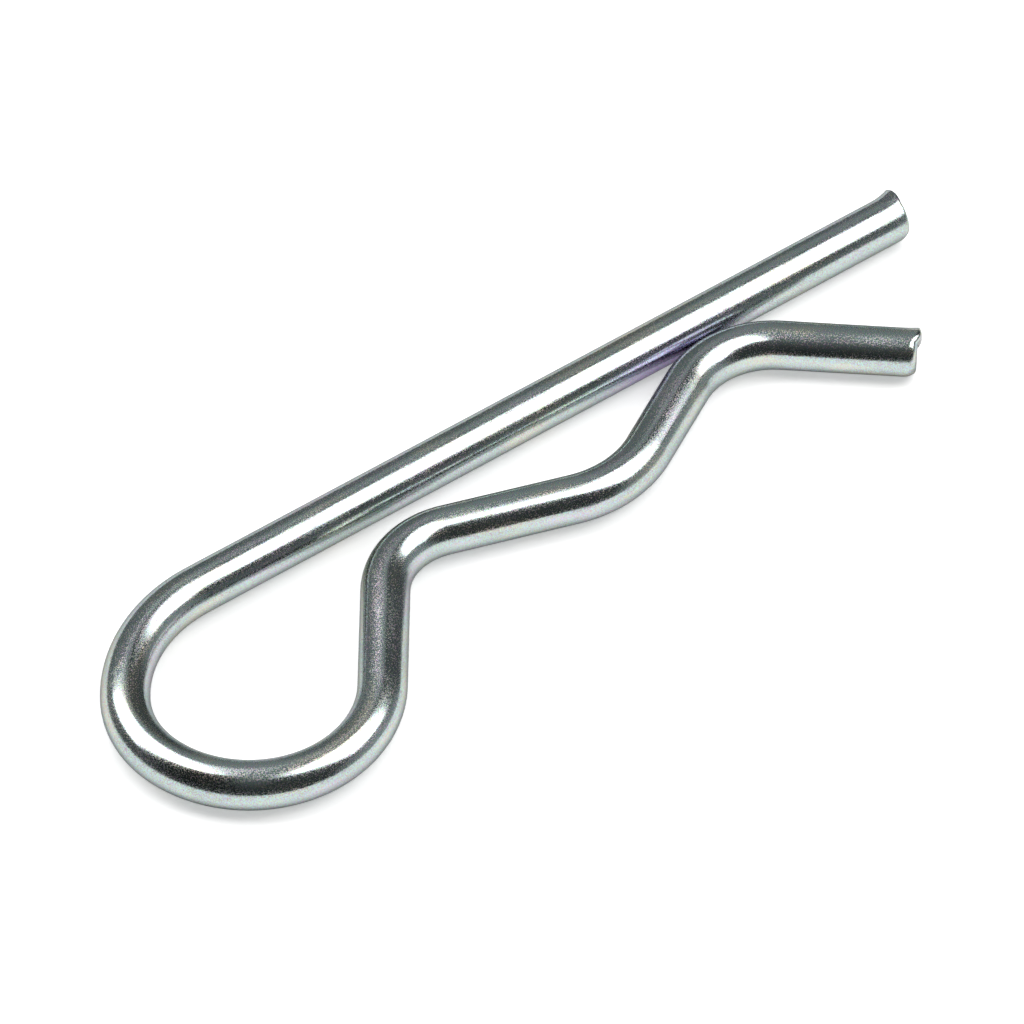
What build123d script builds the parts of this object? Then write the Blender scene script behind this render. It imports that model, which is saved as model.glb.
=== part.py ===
"""Hitch pin clip: one piece of round spring wire, bent in one plane and lying flat.

The straight leg lies along X with its free end towards +X, and the finger loop is at the -X end.
The bent leg comes back on the -Y side: neck, hump run, seat, pinch and flared tip.
The clip lies on the plane Z = 0, so the middle of the wire is one wire radius above it.
The origin is on that plane, where the axis of the locked pin crosses the straight leg.
"""

from build123d import *
from math import cos, radians, sin, tan
import os

# Wire and overall length, in millimetres
wire_diameter = 4.0
overall_length = 84.0

# Finger loop: three tangent arcs from the straight leg round to the bent leg, with turns in degrees
shoulder_radius = 13.2
shoulder_turn = 58.5
heel_radius = 8.8
heel_turn = 44.0
belly_radius = 10.4

# Straight runs of the bent leg: their angle to the straight leg, in degrees
neck_slope = 53.5
hump_slope = 18.0
pinch_slope = 29.5
tip_slope = 40.0
tip_run = 9.5

# Bends of the bent leg, each radius at the middle of the wire
neck_radius = 6.8
seat_radius = 9.9
pinch_radius = 7.8

# Free space between the skins of the two legs
neck_gap = 2.0
seat_gap = 6.15
pinch_gap = 0.15

# Sheared ends: the blade rounds one side of the wire and drags a burr out of the other
shear_angle = 34.5
end_length = 1.5
roll_over_radius = 0.6
roll_over_entry = 15.0
leg_end_lean = 4.5
leg_end_flare = 0.25
leg_end_tongue = 0.1
tip_end_lean = 0.5
tip_end_flare = 0.06
tip_end_tongue = 0.3
tongue_width = 1.5

# The bends follow the middle of the wire
wire_radius = wire_diameter / 2
neck_offset = wire_diameter + neck_gap
seat_offset = wire_diameter + seat_gap
pinch_offset = wire_diameter + pinch_gap

# Headings on the way from the neck round the loop to the straight leg, in degrees from +X
neck_heading = 180 + neck_slope
heel_heading = shoulder_turn + heel_turn
belly_turn = neck_heading - heel_heading


def climb(radius, heading_in, heading_out):
    """Distance that an arc moves the wire along Y while its heading falls from heading_in to heading_out."""
    return radius * (cos(radians(heading_out)) - cos(radians(heading_in)))


# The straight runs are as long as the gaps between the legs need
loop_depth = (
    climb(belly_radius, neck_heading, heel_heading)
    + climb(heel_radius, heel_heading, shoulder_turn)
    + climb(shoulder_radius, shoulder_turn, 0)
)
neck_drop = loop_depth - neck_offset - climb(neck_radius, neck_slope, 0)
hump_drop = seat_offset - neck_offset - climb(neck_radius + seat_radius, hump_slope, 0)
pinch_rise = seat_offset - pinch_offset - climb(seat_radius + pinch_radius, pinch_slope, 0)
neck_run = neck_drop / sin(radians(neck_slope))
hump_run = hump_drop / sin(radians(hump_slope))
pinch_run = pinch_rise / sin(radians(pinch_slope))


def end_plane(middle, outward):
    """Plane across the wire where a sheared end starts: Z points out of the wire and X to the burr."""
    far_side = Vector(0, 0, 1).cross(outward)
    burr_side = far_side * cos(radians(shear_angle)) + Vector(0, 0, 1) * sin(radians(shear_angle))
    return Plane(origin=middle, x_dir=burr_side, z_dir=outward)


def sheared_end(root, lean, flare, tongue):
    """Last stretch of the wire from the plane root: flared to the burr, rolled over on the other side.

    lean is the angle of the cut, flare is how far the burr stands up out of the round wire,
    and tongue is how far it stands out past the cut.
    """
    burr_height = wire_radius + flare

    def cut(height):
        return (end_length + height * tan(radians(lean)), height)

    flare_end = cut(burr_height)[0] + 2 * tongue
    tongue_top = cut(burr_height + flare)
    tongue_foot = cut(burr_height - tongue_width)
    tongue_peak = (tongue_top[0] + tongue, (tongue_top[1] + tongue_foot[1]) / 2)
    roll_start = cut(roll_over_radius - wire_radius)
    with BuildPart() as end:
        with BuildSketch(root):
            Circle(wire_radius)
        with BuildSketch(root.offset(end_length / 2)):
            with Locations((flare / 8, 0)):
                Ellipse(wire_radius + flare / 8, wire_radius)
        with BuildSketch(root.offset(flare_end)):
            with Locations((flare / 2, 0)):
                Ellipse(wire_radius + flare / 2, wire_radius)
        loft()
        with BuildSketch(Plane(origin=root.origin, x_dir=root.z_dir, z_dir=root.y_dir)):
            with BuildLine():
                roll = JernArc(roll_start, (-tan(radians(lean)), -1), roll_over_radius, roll_over_entry - 90)
                tail = PolarLine(roll @ 1, wire_radius, direction=roll % 1)
                Polyline(tail @ 1, ((tail @ 1).X, tongue_top[1]), tongue_top)
                ThreePointArc(tongue_top, tongue_peak, tongue_foot)
                Line(tongue_foot, roll_start)
            make_face()
        extrude(amount=wire_diameter, both=True, mode=Mode.INTERSECT)
    return end.part


# The route of the bent leg and the loop is drawn from the bottom of the seat, both ways
with BuildLine(Plane.XY.offset(wire_radius)) as route:
    seat_to_tip = JernArc((0, -seat_offset), (1, 0), seat_radius, pinch_slope)
    pinch_line = PolarLine(seat_to_tip @ 1, pinch_run, direction=seat_to_tip % 1)
    pinch = JernArc(pinch_line @ 1, pinch_line % 1, pinch_radius, -pinch_slope - tip_slope)
    tip_line = PolarLine(pinch @ 1, tip_run, direction=pinch % 1)
    seat_to_loop = JernArc((0, -seat_offset), (-1, 0), seat_radius, -hump_slope)
    hump_line = PolarLine(seat_to_loop @ 1, hump_run, direction=seat_to_loop % 1)
    neck = JernArc(hump_line @ 1, hump_line % 1, neck_radius, hump_slope + neck_slope)
    neck_line = PolarLine(neck @ 1, neck_run, direction=neck % 1)
    belly = JernArc(neck_line @ 1, neck_line % 1, belly_radius, -belly_turn)
    heel = JernArc(belly @ 1, belly % 1, heel_radius, -heel_turn)
    shoulder = JernArc(heel @ 1, heel % 1, shoulder_radius, -shoulder_turn)
    loop_end = route.line.bounding_box().min.X - wire_radius
    leg_line = Line(shoulder @ 1, (loop_end + overall_length - end_length, (shoulder @ 1).Y))

leg_end = sheared_end(end_plane(leg_line @ 1, leg_line % 1), leg_end_lean, leg_end_flare, leg_end_tongue)
tip_end = sheared_end(end_plane(tip_line @ 1, tip_line % 1), tip_end_lean, tip_end_flare, tip_end_tongue)

with BuildPart() as clip_wire:
    with BuildSketch(Plane(origin=leg_line @ 1, z_dir=leg_line % 1)):
        Circle(wire_radius)
    sweep(path=route.line)
    add(leg_end)
    add(tip_end)

clip_wire.part.label = "clip_wire"

os.makedirs("parts", exist_ok=True)
export_step(clip_wire.part, "parts/clip_wire.step")
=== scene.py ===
"""A zinc-plated hitch pin clip, bent from round spring wire and photographed on a white table."""

import logging
from dataclasses import dataclass
from enum import Enum
from math import ceil, cos, pi, radians, sin, sqrt, tan

import bmesh
import bpy
from mathutils import Matrix, Vector


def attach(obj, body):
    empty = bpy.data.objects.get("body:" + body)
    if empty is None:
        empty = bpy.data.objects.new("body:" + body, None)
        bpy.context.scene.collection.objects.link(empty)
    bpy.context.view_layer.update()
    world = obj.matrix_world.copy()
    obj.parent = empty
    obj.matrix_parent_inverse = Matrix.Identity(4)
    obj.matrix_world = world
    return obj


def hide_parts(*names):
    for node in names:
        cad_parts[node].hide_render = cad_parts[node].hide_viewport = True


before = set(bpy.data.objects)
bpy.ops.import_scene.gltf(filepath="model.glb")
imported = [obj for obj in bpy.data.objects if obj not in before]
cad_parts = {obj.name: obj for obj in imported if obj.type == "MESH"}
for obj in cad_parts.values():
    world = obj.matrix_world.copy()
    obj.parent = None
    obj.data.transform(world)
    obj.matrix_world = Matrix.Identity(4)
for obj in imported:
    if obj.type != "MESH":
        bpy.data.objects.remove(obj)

LOG = logging.getLogger("clip")
MM = 0.001
UP = Vector((0, 0, 1))
UNBENT = "unbent"
WHITE = (1.0, 1.0, 1.0, 1.0)

Colour = tuple[float, float, float, float]
Span = tuple[float, float]


class Stage(Enum):
    """Names of the things on the set that aren't part of the clip."""

    FLOOR = "table_floor"
    CAMERA = "photo_camera"
    LEFT_BOX = "left_softbox"
    RIGHT_BOX = "right_softbox"


def rise_of_bend(radius: float, slope: float) -> float:
    """How far a bend moves away from a line before it has turned by a slope.

    Args:
        radius: Radius of the bend at the middle of the wire, in metres.
        slope: Turn of the bend in degrees.

    Returns:
        The distance in metres.
    """
    return radius * (1 - cos(radians(slope)))


class Value:
    """A number inside a node tree, with Python's operators adding Math nodes."""

    def __init__(self, graph: "Graph", socket: bpy.types.NodeSocket) -> None:
        """Wraps a socket.

        Args:
            graph: The node graph that the socket is in.
            socket: The output socket that carries the number.
        """
        self.graph = graph
        self.socket = socket

    def _math(self, operation: str, *others: "Value | float") -> "Value":
        """Adds one Math node whose first input is this value.

        Args:
            operation: Name of the operation.
            others: The remaining inputs.

        Returns:
            The result.
        """
        return self.graph.math(operation, self, *others)

    def __add__(self, other: "Value | float") -> "Value":
        """Sum."""
        return self._math("ADD", other)

    __radd__ = __add__

    def __sub__(self, other: "Value | float") -> "Value":
        """Difference."""
        return self._math("SUBTRACT", other)

    def __rsub__(self, other: float) -> "Value":
        """Difference from a number."""
        return self.graph.math("SUBTRACT", other, self)

    def __mul__(self, other: "Value | float") -> "Value":
        """Product."""
        return self._math("MULTIPLY", other)

    __rmul__ = __mul__

    def between(self, low: float, high: float) -> "Value":
        """How far the value has come from low to high, smoothed and kept within 0 and 1.

        Args:
            low: Value that gives 0.
            high: Value that gives 1.

        Returns:
            The share.
        """
        node = self.graph.node(
            "ShaderNodeMapRange",
            {"interpolation_type": "SMOOTHSTEP"},
            {"Value": self, "From Min": low, "From Max": high, "To Min": 0.0, "To Max": 1.0},
        )
        return Value(self.graph, node.outputs["Result"])


class Graph:
    """Builds the nodes of one material or of the world."""

    FIRST_COLOUR = 6
    SECOND_COLOUR = 7
    MIXED_COLOUR = 2

    def __init__(self, tree: bpy.types.NodeTree) -> None:
        """Empties the tree.

        Args:
            tree: The node tree to fill.
        """
        self.tree = tree
        tree.nodes.clear()

    def node(
        self, kind: str, settings: dict | None = None, inputs: dict | None = None
    ) -> bpy.types.Node:
        """Adds a node.

        Args:
            kind: Blender's type name of the node.
            settings: Properties of the node, set before its inputs.
            inputs: Values or links of its sockets, by name or number.

        Returns:
            The node.
        """
        made = self.tree.nodes.new(kind)
        for name, setting in (settings or {}).items():
            setattr(made, name, setting)
        for name, given in (inputs or {}).items():
            socket = made.inputs[name]
            if isinstance(given, Value):
                given = given.socket
            if isinstance(given, bpy.types.NodeSocket):
                self.tree.links.new(given, socket)
            else:
                socket.default_value = given
        return made

    def math(self, operation: str, *terms: Value | float) -> Value:
        """Adds a Math node.

        Args:
            operation: Name of the operation.
            terms: Its inputs.

        Returns:
            The result.
        """
        node = self.node("ShaderNodeMath", {"operation": operation}, dict(enumerate(terms)))
        return Value(self, node.outputs[0])

    def dot(self, place: bpy.types.NodeSocket, direction: Vector) -> Value:
        """Measures how far a vector points in a direction.

        Args:
            place: The vector's socket.
            direction: The direction.

        Returns:
            Their dot product.
        """
        inputs = {0: place, 1: direction}
        node = self.node("ShaderNodeVectorMath", {"operation": "DOT_PRODUCT"}, inputs)
        return Value(self, node.outputs["Value"])

    def blend(
        self,
        share: Value | float,
        first: Colour | bpy.types.NodeSocket,
        second: Colour | bpy.types.NodeSocket,
        way: str = "MIX",
    ) -> bpy.types.NodeSocket:
        """Mixes two colours.

        Args:
            share: 0 gives the first colour, 1 the second one's full effect.
            first: A colour or a colour socket.
            second: A colour or a colour socket.
            way: Blender's name for how the second colour acts on the first.

        Returns:
            The mixed colour's socket.
        """
        inputs = {0: share, self.FIRST_COLOUR: first, self.SECOND_COLOUR: second}
        node = self.node("ShaderNodeMix", {"data_type": "RGBA", "blend_type": way}, inputs)
        return node.outputs[self.MIXED_COLOUR]


@dataclass(frozen=True)
class Pattern:
    """Size of a noise on the wire: along it, across it, and how many finer layers it has."""

    along: float
    across: float
    detail: float

    def add(self, graph: Graph, place: bpy.types.NodeSocket) -> bpy.types.Node:
        """Adds the noise.

        Args:
            graph: The graph to add to.
            place: Position on the straight wire, in metres.

        Returns:
            The node, whose number Fac and colour Color are about 0.5 on average.
        """
        finer = (1 / self.along, 1 / self.across, 1 / self.across)
        inputs = {"Vector": place, "Scale": finer}
        scaled = graph.node("ShaderNodeMapping", {"vector_type": "POINT"}, inputs).outputs["Vector"]
        inputs = {"Vector": scaled, "Scale": 1.0, "Detail": self.detail}
        return graph.node("ShaderNodeTexNoise", {}, inputs)

    def number(self, graph: Graph, place: bpy.types.NodeSocket) -> Value:
        """Adds the noise and returns its number, with the same arguments as add."""
        return Value(graph, self.add(graph, place).outputs["Fac"])


@dataclass(frozen=True)
class ZincPlate:
    """Bright zinc plate with a clear passivate on drawn wire. Spans run from none to full."""

    slot: str = "zinc_plate"
    bright: Colour = (0.455, 0.51, 0.50, 1.0)
    dull: Colour = (0.33, 0.385, 0.38, 1.0)
    edge: Colour = (0.35, 0.35, 0.35, 1.0)
    streaks: Pattern = Pattern(1.6 * MM, 0.13 * MM, 2.0)
    streak_depth: float = 3.2e-6
    grain: Pattern = Pattern(0.10 * MM, 0.10 * MM, 1.0)
    grain_depth: float = 2.2e-6
    speckle_strength: float = 0.6
    clouds: Pattern = Pattern(4.8 * MM, 2.4 * MM, 3.0)
    cloud_share: float = 0.25
    dull_span: Span = (0.43, 0.67)
    roughness: float = 0.13
    dull_roughness: float = 0.36
    patches: Pattern = Pattern(7.2 * MM, 1.2 * MM, 2.0)
    cream: Colour = (0.57, 0.55, 0.47, 1.0)
    cream_span: Span = (0.50, 0.68)
    lilac: Colour = (0.53, 0.50, 0.55, 1.0)
    lilac_span: Span = (0.48, 0.32)
    tint_strength: float = 0.6
    # Painted reflection: a violet tint on the straight leg where the bent leg near the pinch is mirrored,
    # with its place along the wire, its reach and the side it covers.
    painted_reflection_violet: Colour = (0.47, 0.40, 0.60, 1.0)
    painted_reflection_place: float = -121.5 * MM
    painted_reflection_reach: float = 9.0 * MM
    painted_reflection_side: Span = (1.0 * MM, 2.0 * MM)

    def material(self) -> bpy.types.Material:
        """Makes the material.

        Returns:
            The material, whose patterns follow the straight wire that the clip was bent from.
        """
        made = bpy.data.materials.new("zinc_plate")
        made.use_nodes = True
        graph = Graph(made.node_tree)
        wire = graph.node("ShaderNodeAttribute", {"attribute_name": UNBENT}).outputs["Vector"]
        speckle = self.grain.add(graph, wire).outputs
        grain = Value(graph, speckle["Fac"])
        clouds = self.clouds.number(graph, wire)
        dullness = clouds * self.cloud_share + grain * (1 - self.cloud_share)
        dullness = dullness.between(*self.dull_span)
        colour = graph.blend(dullness, self.bright, self.dull)
        colour = self._tinted(graph, wire, colour)
        colour = graph.blend(self.speckle_strength, colour, speckle["Color"], "OVERLAY")
        rough = self.roughness + dullness * (self.dull_roughness - self.roughness)
        relief = self.streaks.number(graph, wire) * self.streak_depth + grain * self.grain_depth
        bump = graph.node("ShaderNodeBump", {}, {"Strength": 1.0, "Distance": 1.0, "Height": relief})
        surface = graph.node(
            "ShaderNodeBsdfPrincipled",
            {},
            {
                "Base Color": colour,
                "Metallic": 1.0,
                "Roughness": rough,
                "Specular Tint": self.edge,
                "Normal": bump.outputs["Normal"],
            },
        )
        graph.node("ShaderNodeOutputMaterial", {}, {"Surface": surface.outputs["BSDF"]})
        return made

    def _tinted(
        self, graph: Graph, wire: bpy.types.NodeSocket, colour: bpy.types.NodeSocket
    ) -> bpy.types.NodeSocket:
        """Tints the plate with cream and lilac patches, and paints a violet reflection of the bent leg onto
        one side of the straight leg near the pinch.

        Args:
            graph: The graph to add to.
            wire: Position on the straight wire, in metres.
            colour: Colour of the plate.

        Returns:
            The tinted colour.
        """
        patch = self.patches.number(graph, wire)
        for tint, span in ((self.cream, self.cream_span), (self.lilac, self.lilac_span)):
            colour = graph.blend(patch.between(*span) * self.tint_strength, colour, tint)
        # Painted reflection: violet only within reach of its place along the straight leg, on the side that
        # faces the pinch.
        along = graph.dot(wire, Vector((1, 0, 0))) - self.painted_reflection_place
        painted_reflection = along.between(-self.painted_reflection_reach, 0.0) * along.between(self.painted_reflection_reach, 0.0)
        painted_reflection = painted_reflection * graph.dot(wire, Vector((0, 1, 0))).between(*self.painted_reflection_side)
        return graph.blend(painted_reflection, colour, self.painted_reflection_violet)


@dataclass(frozen=True)
class ShearedEnd:
    """Shape of a sheared wire end, rolled over on one side and with a burr on the other."""

    lean: float
    flare: float
    tongue: float
    rim_radius: float
    length: float = 1.5 * MM
    shear_angle: float = 34.5
    roll_over: float = 0.6 * MM
    tongue_width: float = 1.5 * MM
    tongue_squareness: float = 0.75
    sharpest_rim: float = 0.1
    sharp_share: float = 0.5
    wall_rings: int = 10
    rim_rings: int = 8
    face_rings: int = 18

    def reach(self, height: float, wire_radius: float) -> float:
        """How far the cut stands out from where the end starts.

        Args:
            height: Distance from the middle of the wire towards the burr.
            wire_radius: Radius of the wire.

        Returns:
            The distance along the wire.
        """
        out = self.length + height * tan(radians(self.lean))
        below = wire_radius - self.roll_over + height
        if below < 0:
            depth = min(-below / self.roll_over, 1.0)
            out -= self.roll_over * (1 - sqrt(1 - depth * depth))
        top = wire_radius + self.flare
        share = (top - height) / self.tongue_width
        if 0 <= share <= 1:
            out += self.tongue * sin(pi * share) ** self.tongue_squareness
        return out

    def flared(self, height: float, share: float, wire_radius: float) -> float:
        """Height of a point on the wall after the burr has been dragged out.

        Args:
            height: Height on the round wire.
            share: 0 where the end starts, 1 at the cut.
            wire_radius: Radius of the wire.

        Returns:
            The new height.
        """
        flare = self.flare * share * share
        return height * (1 + flare / (2 * wire_radius)) + flare / 2

    def rim(self, height: float, turn: float, wire_radius: float) -> tuple[float, float]:
        """Place of a point on the worn rim of the cut, which stays sharp at the burr.

        Args:
            height: Height of the point on the wall, towards the burr.
            turn: 0 where the rim leaves the wall, 1 where it meets the cut.
            wire_radius: Radius of the wire.

        Returns:
            How far the point lies short of the cut and how far inside the wall.
        """
        from_burr = (wire_radius + self.flare - height) / (wire_radius * self.sharp_share)
        radius = self.rim_radius * min(1.0, max(self.sharpest_rim, from_burr))
        return radius * (1 - sin(turn * pi / 2)), radius * (1 - cos(turn * pi / 2))


class WireBender:
    """Feeds a round wire out of a starting ring and bends it in one plane."""

    def __init__(self, mesh: bmesh.types.BMesh, ring: list, place: Vector, heading: float) -> None:
        """Takes hold of a ring of the wire.

        Args:
            mesh: The mesh under construction.
            ring: The edges of the ring.
            place: Middle of the ring.
            heading: Direction in which the wire is fed, in degrees from +X.
        """
        self.mesh = mesh
        self.ring = ring
        self.place = place.copy()
        self.heading = heading
        self.travelled = 0.0
        self.unbent = mesh.verts.layers.float_vector[UNBENT]
        self.feed = 1 if cos(radians(heading)) > 0 else -1

    @property
    def forward(self) -> Vector:
        """Direction in which the wire is fed."""
        return Vector((cos(radians(self.heading)), sin(radians(self.heading)), 0))

    @property
    def left(self) -> Vector:
        """Direction to the left of the feed."""
        return UP.cross(self.forward)

    def verts(self) -> list:
        """The vertices of the ring that is held."""
        return list({vert: None for edge in self.ring for vert in edge.verts})

    def run(self, length: float) -> None:
        """Feeds a straight run.

        Args:
            length: Length of the run.
        """
        self._extrude()
        bmesh.ops.translate(self.mesh, vec=self.forward * length, verts=self.verts())
        self.place += self.forward * length
        self.travelled += self.feed * length
        for vert in self.verts():
            vert[self.unbent].x = self.travelled

    def _extrude(self) -> None:
        """Starts a new ring in the same place as the one that is held, and holds it instead."""
        old = set(self.verts())
        made = bmesh.ops.extrude_edge_only(self.mesh, edges=self.ring)["geom"]
        edges = [part for part in made if isinstance(part, bmesh.types.BMEdge)]
        self.ring = [edge for edge in edges if not old.intersection(edge.verts)]

    def bend(self, radius: float, turn: float, step: float) -> None:
        """Feeds a bend.

        Args:
            radius: Radius at the middle of the wire.
            turn: Turn in degrees, positive to the left.
            step: Largest turn from one ring to the next, in degrees.
        """
        side = 1 if turn > 0 else -1
        centre = self.place + self.left * side * radius
        arm = self.place - centre
        fed = len(self.mesh.verts)
        made = bmesh.ops.spin(
            self.mesh,
            geom=self.ring,
            cent=centre,
            axis=UP,
            angle=radians(turn),
            steps=ceil(abs(turn) / step),
            use_merge=False,
            use_duplicate=False,
        )["geom_last"]
        self.mesh.verts.ensure_lookup_table()
        for vert in self.mesh.verts[fed:]:
            swept = abs((vert.co - centre).xy.angle_signed(arm.xy))
            vert[self.unbent].x = self.travelled + self.feed * radius * swept
        self.place = centre + Matrix.Rotation(radians(turn), 3, "Z") @ arm
        self.heading += turn
        self.travelled += self.feed * radius * radians(abs(turn))
        self.ring = [part for part in made if isinstance(part, bmesh.types.BMEdge)]

    def shear(self, end: ShearedEnd, wire_radius: float) -> None:
        """Finishes the wire with a sheared end.

        Args:
            end: Shape of the end.
            wire_radius: Radius of the wire.
        """
        start = self.place.copy()
        forward = self.forward
        burr = self.left * cos(radians(end.shear_angle)) + UP * sin(radians(end.shear_angle))
        side = forward.cross(burr)
        rim = [
            ((vert.co - start).dot(burr), (vert.co - start).dot(side), vert[self.unbent].yz)
            for vert in self.verts()
        ]
        rings = [(n / end.wall_rings, 0.0, 1.0) for n in range(1, end.wall_rings + 1)]
        rings += [(1.0, n / end.rim_rings, 1.0) for n in range(1, end.rim_rings + 1)]
        rings += [(1.0, 1.0, 1 - n / end.face_rings) for n in range(1, end.face_rings)]
        for share, turn, size in rings:
            self._extrude()
            for vert, (level, across, unbent) in zip(self.verts(), rim):
                height = end.flared(level, share, wire_radius)
                short, inside = end.rim(height, turn, wire_radius)
                inner = size * (1 - inside / wire_radius)
                out = (end.reach(height * inner, wire_radius) - short) * share
                vert.co = start + forward * out + burr * height * inner + side * across * inner
                vert[self.unbent] = Vector((self.travelled + self.feed * out, *(unbent * inner)))
        bmesh.ops.edgeloop_fill(self.mesh, edges=self.ring)


@dataclass
class ClipWire:
    """The whole clip: one wire with its bends and ends. Lengths are metres and turns degrees."""

    wire_diameter: float = 4.0 * MM
    overall_length: float = 84.0 * MM
    shoulder_radius: float = 13.2 * MM
    shoulder_turn: float = 58.5
    heel_radius: float = 8.8 * MM
    heel_turn: float = 44.0
    belly_radius: float = 10.4 * MM
    neck_slope: float = 53.5
    hump_slope: float = 18.0
    pinch_slope: float = 29.5
    tip_slope: float = 40.0
    tip_run: float = 9.5 * MM
    neck_radius: float = 6.8 * MM
    seat_radius: float = 9.9 * MM
    pinch_radius: float = 7.8 * MM
    neck_gap: float = 2.0 * MM
    seat_gap: float = 6.15 * MM
    pinch_gap: float = 0.15 * MM
    leg_end: ShearedEnd = ShearedEnd(lean=4.5, flare=0.25 * MM, tongue=0.1 * MM, rim_radius=0.25 * MM)
    tip_end: ShearedEnd = ShearedEnd(lean=0.5, flare=0.06 * MM, tongue=0.3 * MM, rim_radius=0.6 * MM)
    sides: int = 112
    ring_step: float = 1.5

    @property
    def wire_radius(self) -> float:
        """Radius of the wire."""
        return self.wire_diameter / 2

    def _slanted(self, drop: float, slope: float, *radii: float) -> float:
        """Length of the straight run between two bends.

        Args:
            drop: Distance between the tops of the two bends, across the straight leg.
            slope: Angle of the run to the straight leg.
            radii: Radii of the two bends.

        Returns:
            The length.
        """
        return (drop - rise_of_bend(sum(radii), slope)) / sin(radians(slope))

    def mesh(self) -> bmesh.types.BMesh:
        """Bends the wire from the bottom of its seat, first to the tip and then round to the leg.

        Returns:
            The closed mesh, with its patterns' coordinates on its vertices.
        """
        made = bmesh.new()
        unbent = made.verts.layers.float_vector.new(UNBENT)
        neck_offset = self.wire_diameter + self.neck_gap
        seat_offset = self.wire_diameter + self.seat_gap
        pinch_offset = self.wire_diameter + self.pinch_gap
        seat = Vector((0, -seat_offset, self.wire_radius))
        across = Matrix.Translation(seat) @ Matrix.Rotation(radians(90), 4, "Y")
        bmesh.ops.create_circle(made, segments=self.sides, radius=self.wire_radius, matrix=across)
        for vert in made.verts:
            vert[unbent] = Vector((0, vert.co.y - seat.y, vert.co.z - seat.z))
        ring = list(made.edges)

        tip = WireBender(made, ring, seat, 0)
        pinch_rise = seat_offset - pinch_offset
        tip.bend(self.seat_radius, self.pinch_slope, self.ring_step)
        tip.run(self._slanted(pinch_rise, self.pinch_slope, self.seat_radius, self.pinch_radius))
        tip.bend(self.pinch_radius, -self.pinch_slope - self.tip_slope, self.ring_step)
        tip.run(self.tip_run)
        tip.shear(self.tip_end, self.wire_radius)

        leg = WireBender(made, ring, seat, 180)
        hump_drop = seat_offset - neck_offset
        leg.bend(self.seat_radius, -self.hump_slope, self.ring_step)
        leg.run(self._slanted(hump_drop, self.hump_slope, self.seat_radius, self.neck_radius))
        leg.bend(self.neck_radius, self.hump_slope + self.neck_slope, self.ring_step)
        leg.run(self._neck_run(neck_offset))
        belly_turn = 180 + self.neck_slope - self.shoulder_turn - self.heel_turn
        leg.bend(self.belly_radius, -belly_turn, self.ring_step)
        leg.bend(self.heel_radius, -self.heel_turn, self.ring_step)
        leg.bend(self.shoulder_radius, -self.shoulder_turn, self.ring_step)
        loop_end = min(vert.co.x for vert in made.verts)
        leg.run(loop_end + self.overall_length - self.leg_end.length - leg.place.x)
        leg.shear(self.leg_end, self.wire_radius)
        bmesh.ops.recalc_face_normals(made, faces=made.faces)
        return made

    def _neck_run(self, neck_offset: float) -> float:
        """Length of the straight run between the loop and the neck.

        Args:
            neck_offset: Distance between the middles of the legs at the neck.

        Returns:
            The length.
        """
        headings = (180 + self.neck_slope, self.heel_turn + self.shoulder_turn, self.shoulder_turn, 0)
        radii = (self.belly_radius, self.heel_radius, self.shoulder_radius)
        depth = sum(
            radius * (cos(radians(after)) - cos(radians(before)))
            for radius, before, after in zip(radii, headings, headings[1:])
        )
        return self._slanted(depth - neck_offset, self.neck_slope, self.neck_radius)

    def build(self, finish: ZincPlate) -> bpy.types.Object:
        """Makes the clip's object in place of its solid.

        Args:
            finish: The plate on the wire.

        Returns:
            The object.
        """
        data = bpy.data.meshes.new("plated_wire")
        shape = self.mesh()
        shape.to_mesh(data)
        shape.free()
        data.shade_smooth()
        data.materials.append(finish.material())
        piece = bpy.data.objects.new("plated_wire", data)
        bpy.context.scene.collection.objects.link(piece)
        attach(piece, "root")
        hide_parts("clip_wire")
        LOG.info("plated_wire: %d vertices, %d faces", len(data.vertices), len(data.polygons))
        return piece


@dataclass(frozen=True)
class TableView:
    """Directions over the table, for a camera that sees the straight leg at a heading."""

    heading: float

    @property
    def right(self) -> Vector:
        """Direction along the table to the right of the picture."""
        return Vector((cos(radians(self.heading)), -sin(radians(self.heading)), 0))

    @property
    def away(self) -> Vector:
        """Direction along the table away from the camera."""
        return UP.cross(self.right)

    def direction(self, bearing: float, elevation: float) -> Vector:
        """Direction from the table into the room.

        Args:
            bearing: Angle from the right of the picture towards the back, in degrees.
            elevation: Angle above the table in degrees.

        Returns:
            The direction as a unit vector.
        """
        level = self.right * cos(radians(bearing)) + self.away * sin(radians(bearing))
        return level * cos(radians(elevation)) + UP * sin(radians(elevation))


@dataclass(frozen=True)
class Softbox:
    """A rectangular soft light over the clip. Bearings are from the right of the picture."""

    name: Stage
    bearing: float
    elevation: float
    back_bearing: float
    back_elevation: float
    roll: float
    width: float
    depth: float
    brightness: float
    distance: float = 0.6

    def build(self, view: TableView, focus: Vector) -> bpy.types.Object:
        """Hangs the light over the table.

        Args:
            view: Directions over the table as the camera sees it.
            focus: Point from which the bearing, elevation and distance are taken.

        Returns:
            The light's object.
        """
        lamp = bpy.data.lights.new(self.name.value, "AREA")
        lamp.shape = "RECTANGLE"
        lamp.size, lamp.size_y = self.width, self.depth
        lamp.energy = self.brightness * pi * self.width * self.depth
        back = view.direction(self.back_bearing, self.back_elevation)
        across = view.away.cross(back).normalized()
        across.rotate(Matrix.Rotation(radians(self.roll), 3, back))
        axes = Matrix((across, back.cross(across), back)).transposed().to_4x4()
        place = focus + view.direction(self.bearing, self.elevation) * self.distance
        light = bpy.data.objects.new(self.name.value, lamp)
        light.matrix_world = Matrix.Translation(place) @ axes
        bpy.context.scene.collection.objects.link(light)
        LOG.info("%s hangs %.2f m over the table", self.name.value, place.z)
        return light


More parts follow.
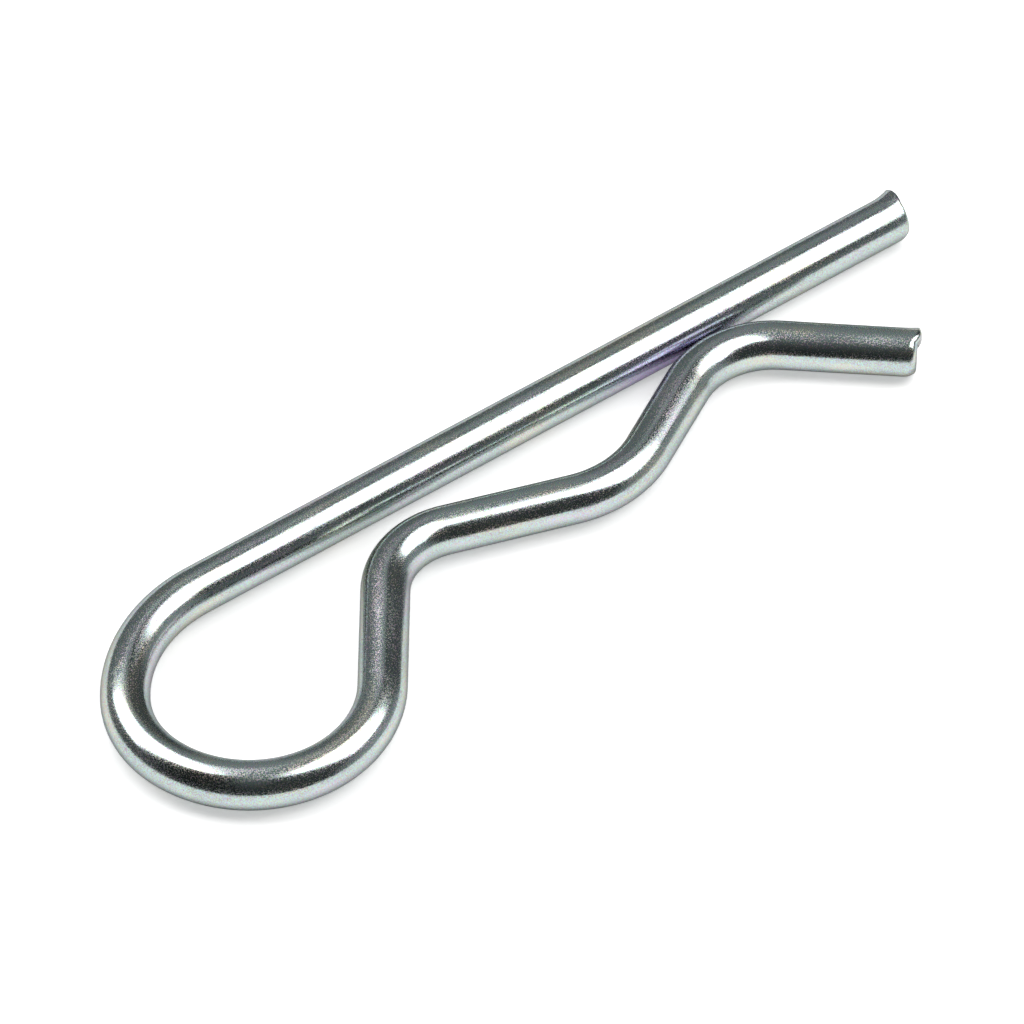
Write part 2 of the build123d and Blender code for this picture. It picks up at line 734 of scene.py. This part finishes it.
@dataclass(frozen=True)
class Wall:
    """A lighter part of the room, which fades in along one direction."""

    starts: float
    full: float
    strength: float

    def light(self, along: Value) -> Value:
        """Light of the wall.

        Args:
            along: How far a direction points the wall's way, from -1 to 1.

        Returns:
            The light, from 0 to the wall's strength.
        """
        return along.between(self.starts, self.full) * self.strength


@dataclass
class Studio:
    """White table, two softboxes, a dim room and the camera.

    The gap is the light between the softboxes, which goes by the square of how far sideways a direction is.
    """

    view: TableView = TableView(heading=35.665)
    elevation: float = 48.66
    camera_distance: float = 0.945
    focus: tuple[float, float, float] = (-7.878 * MM, -7.876 * MM, 2.0 * MM)
    pixels_per_metre: float = 12523.0
    photo_pixels: int = 1024
    sensor: float = 36.0
    view_depth: float = 20.0
    floor_size: float = 4.0
    floor_colour: Colour = (0.88, 0.88, 0.88, 1.0)
    floor_roughness: float = 0.9
    floor_gloss: float = 0.2
    floor_glow: float = 0.33
    backdrop: Colour = (0.9, 0.9, 0.9, 1.0)
    room_colour: Colour = (0.90, 1.0, 1.01, 1.0)
    room_fill: float = 0.3
    room_dark: float = 0.02
    back_wall: Wall = Wall(0.0, 0.75, 1.0)
    back_light: float = 0.04
    back_left: Wall = Wall(0.2, -0.3, 0.14)
    gap: Wall = Wall(0.03, 0.0, 0.22)
    gap_length: Wall = Wall(-1.2, 0.3, 1.0)
    near_right: Wall = Wall(-0.1, 0.3, 0.03)
    right_wall: Wall = Wall(0.72, 1.05, 0.4)
    left_wall: Wall = Wall(-0.7, -1.0, 0.08)
    boxes: tuple[Softbox, ...] = (
        Softbox(
            Stage.RIGHT_BOX,
            bearing=6.0,
            elevation=52.2,
            back_bearing=14.7,
            back_elevation=79.4,
            roll=-4.2,
            width=0.576,
            depth=0.424,
            brightness=3.6,
        ),
        Softbox(
            Stage.LEFT_BOX,
            bearing=153.0,
            elevation=52.0,
            back_bearing=146.9,
            back_elevation=60.8,
            roll=0.3,
            width=0.538,
            depth=0.428,
            brightness=3.8,
        ),
    )

    def camera(self) -> bpy.types.Object:
        """Places the camera as the photograph was taken.

        Returns:
            The camera's object.
        """
        lens = bpy.data.cameras.new(Stage.CAMERA.value)
        lens.sensor_width = self.sensor
        lens.lens = self.sensor * self.pixels_per_metre * self.camera_distance / self.photo_pixels
        lens.clip_end = self.view_depth
        look = -self.view.direction(-90, self.elevation)
        focus = Vector(self.focus)
        made = bpy.data.objects.new(Stage.CAMERA.value, lens)
        made.location = focus - look * self.camera_distance
        made.rotation_euler = look.to_track_quat("-Z", "Y").to_euler()
        bpy.context.scene.collection.objects.link(made)
        bpy.context.scene.camera = made
        LOG.info("camera with a lens of %.0f mm", lens.lens)
        return made

    def floor(self) -> bpy.types.Object:
        """Lays the white table top under the clip.

        Returns:
            The floor's object.
        """
        shape = bmesh.new()
        bmesh.ops.create_grid(shape, x_segments=1, y_segments=1, size=self.floor_size / 2)
        data = bpy.data.meshes.new(Stage.FLOOR.value)
        shape.to_mesh(data)
        shape.free()
        paper = bpy.data.materials.new("white_table")
        paper.use_nodes = True
        graph = Graph(paper.node_tree)
        surface = graph.node(
            "ShaderNodeBsdfPrincipled",
            {},
            {
                "Base Color": self.floor_colour,
                "Roughness": self.floor_roughness,
                "Specular IOR Level": self.floor_gloss,
                "Emission Color": WHITE,
                "Emission Strength": self.floor_glow,
            },
        )
        graph.node("ShaderNodeOutputMaterial", {}, {"Surface": surface.outputs["BSDF"]})
        data.materials.append(paper)
        made = bpy.data.objects.new(Stage.FLOOR.value, data)
        bpy.context.scene.collection.objects.link(made)
        return made

    def room(self) -> None:
        """Makes the dim room that the plate mirrors, which fills the table's shadows and looks pale."""
        world = bpy.data.worlds.new("studio_room")
        world.use_nodes = True
        graph = Graph(world.node_tree)
        place = graph.node("ShaderNodeTexCoord").outputs["Generated"]
        sideways = graph.dot(place, self.view.right)
        back = graph.dot(place, self.view.away)
        back_light = self.back_light + self.back_left.light(sideways)
        strength = self.back_wall.light(back) * back_light + self.room_dark
        strength += self.gap.light(sideways * sideways) * self.gap_length.light(back)
        for wall in (self.near_right, self.right_wall, self.left_wall):
            strength += wall.light(sideways)
        rays = graph.node("ShaderNodeLightPath").outputs
        light = self._glow(graph, self.room_colour, strength)
        special = {"Is Diffuse Ray": (WHITE, self.room_fill), "Is Camera Ray": (self.backdrop, 1.0)}
        for ray, (colour, glow) in special.items():
            inputs = {0: rays[ray], 1: light, 2: self._glow(graph, colour, glow)}
            light = graph.node("ShaderNodeMixShader", {}, inputs).outputs["Shader"]
        graph.node("ShaderNodeOutputWorld", {}, {"Surface": light})
        bpy.context.scene.world = world

    @staticmethod
    def _glow(graph: Graph, colour: Colour, strength: Value | float) -> bpy.types.NodeSocket:
        """Adds a Background shader.

        Args:
            graph: The graph to add to.
            colour: Colour of the light.
            strength: Strength of the light.

        Returns:
            The shader's socket.
        """
        inputs = {"Color": colour, "Strength": strength}
        return graph.node("ShaderNodeBackground", {}, inputs).outputs["Background"]

    def build(self) -> None:
        """Sets up the floor, the lights, the room and the camera."""
        bpy.context.scene.view_settings.view_transform = "Standard"
        self.floor()
        for box in self.boxes:
            box.build(self.view, Vector(self.focus))
        self.room()
        self.camera()


def main() -> None:
    """Builds the clip and the set around it."""
    logging.basicConfig(level=logging.INFO, format="%(name)s: %(message)s")
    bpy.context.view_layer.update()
    Studio().build()
    ClipWire().build(ZincPlate())
    bpy.context.view_layer.update()


if __name__ == "__main__":
    main()
